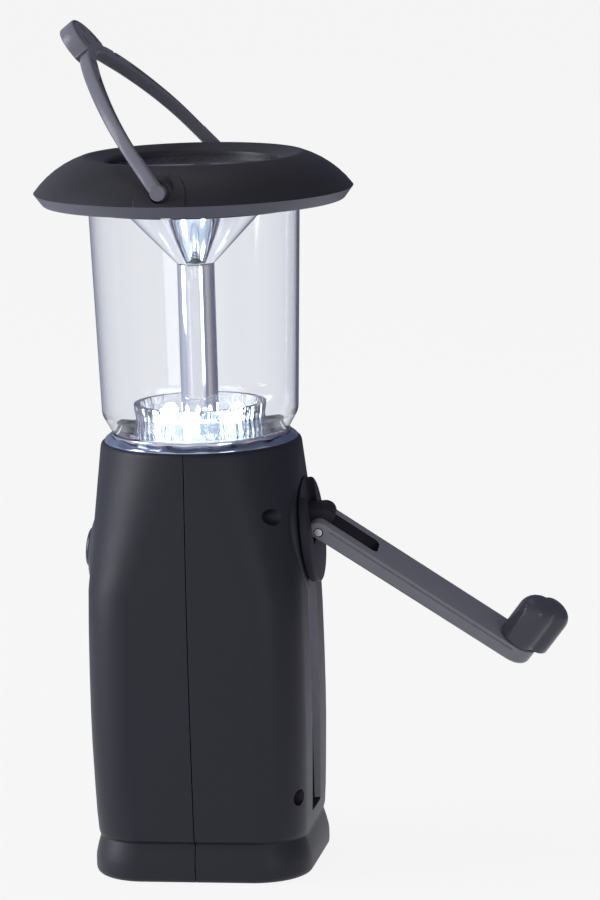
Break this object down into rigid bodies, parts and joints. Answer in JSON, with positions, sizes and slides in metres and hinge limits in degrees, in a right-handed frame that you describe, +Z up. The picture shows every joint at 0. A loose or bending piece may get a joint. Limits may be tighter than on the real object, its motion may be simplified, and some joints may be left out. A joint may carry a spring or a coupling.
{
  "type": "hand crank camping lantern",
  "caption": "Camping lantern with a clear globe, reflector cone, domed hood with solar cell and swinging bail, on a body with a folding hand crank generator and a battery.",
  "frame": {"origin": "middle of the base on the floor", "axes": "+Z up, +X towards the crank, -Y towards the front where the body seam shows"},
  "size_m": [0.1637, 0.1006, 0.2679],
  "materials": {
    "body_plastic": "fine-textured black moulded body",
    "hood_plastic": "satin black moulded hood",
    "crank_plastic": "semi-gloss dark grey moulding",
    "clear_plastic": "clear polished plastic",
    "chrome": "bright vacuum-plated plastic",
    "tray_plastic": "dark reflective tray",
    "steel": "plain steel",
    "gear_nylon": "natural nylon",
    "lamp": "clear lamp body, lit white",
    "solar_cell": "dark solar cell",
    "board": "green circuit board",
    "cell_wrap": "green heat-shrink sleeve",
    "magnet": "dark ferrite and laminations",
    "lead": "red insulated wire"
  },
  "bodies": {
    "lantern": {"body_shell_left": "body_plastic", "body_shell_right": "body_plastic", "base_cover": "body_plastic", "cover_screw_1": "steel", "cover_screw_2": "steel", "shell_screw_1": "steel", "shell_screw_2": "steel", "shell_screw_3": "steel", "shell_screw_4": "steel", "gearbox_plate": "steel", "plate_screw_1": "steel", "plate_screw_2": "steel", "plate_screw_3": "steel", "plate_screw_4": "steel", "idler_axle": "steel", "generator_can": "steel", "generator_magnet": "magnet", "generator_cap": "body_plastic", "lamp_tray": "tray_plastic", "lamp_board": "board", "lamp_1": "lamp", "lamp_2": "lamp", "lamp_3": "lamp", "lamp_4": "lamp", "lamp_5": "lamp", "lamp_6": "lamp", "lens_ring": "clear_plastic", "center_post": "chrome", "globe": "clear_plastic", "hood_shell": "hood_plastic", "hood_under_plate": "hood_plastic", "upper_reflector": "chrome", "solar_panel": "solar_cell", "solar_window": "clear_plastic", "hood_screw_1": "steel", "hood_screw_2": "steel", "hood_screw_3": "steel", "button_bezel": "crank_plastic", "control_board": "board", "push_switch": "magnet", "filter_capacitor": "magnet", "battery_cradle": "body_plastic", "battery_cell_1": "cell_wrap", "battery_cell_2": "cell_wrap", "battery_cell_3": "cell_wrap", "lamp_lead": "lead"},
    "bail": {"bail_handle": "crank_plastic", "bail_retainer_front": "steel", "bail_retainer_rear": "steel"},
    "crank": {"crank_hub": "crank_plastic", "hub_screw": "steel", "drive_gear": "gear_nylon"},
    "crank_lever": {"hinge_pin": "steel", "crank_arm": "crank_plastic", "knob_rivet": "steel"},
    "crank_knob": {"knob": "crank_plastic"},
    "idler": {"idler_gear": "gear_nylon"},
    "rotor": {"generator_rotor": "magnet", "generator_pinion": "gear_nylon"},
    "button": {"power_button": "crank_plastic"}
  },
  "joints": [
    {"name": "bail_swing", "type": "hinge", "parent": "lantern", "child": "bail", "pos_m": [0, 0, 0.219], "axis": [0.0349, 0.9994, 0], "range_deg": [-25, 103]},
    {"name": "crank_spin", "type": "hinge", "parent": "lantern", "child": "crank", "pos_m": [0.0331, 0, 0.1065], "axis": [0.9962, 0, 0.0872], "continuous": true},
    {"name": "crank_fold", "type": "hinge", "parent": "crank", "child": "crank_lever", "pos_m": [0.03752, -0.00048, 0.1088], "axis": [-0.0213, 0.9697, 0.2435], "range_deg": [-116, 41]},
    {"name": "knob_spin", "type": "hinge", "parent": "crank_lever", "child": "crank_knob", "pos_m": [0.09946, 0.01083, 0.0692], "axis": [0.594, -0.1837, 0.7832], "continuous": true},
    {"name": "idler_spin", "type": "hinge", "parent": "lantern", "child": "idler", "pos_m": [0.03494, 0, 0.08548], "axis": [0.9962, 0, 0.0872], "continuous": true},
    {"name": "generator_spin", "type": "hinge", "parent": "lantern", "child": "rotor", "pos_m": [0.03664, 0, 0.06605], "axis": [0.9962, 0, 0.0872], "continuous": true},
    {"name": "button_press", "type": "slide", "parent": "lantern", "child": "button", "axis": [0.9962, 0, -0.0872], "range_m": [0, 0.001], "stiffness_N_per_m": 800}
  ],
  "couplings": [
    {"joint": "idler_spin", "follows": "crank_spin", "ratio": -3.3333},
    {"joint": "generator_spin", "follows": "crank_spin", "ratio": 10}
  ]
}
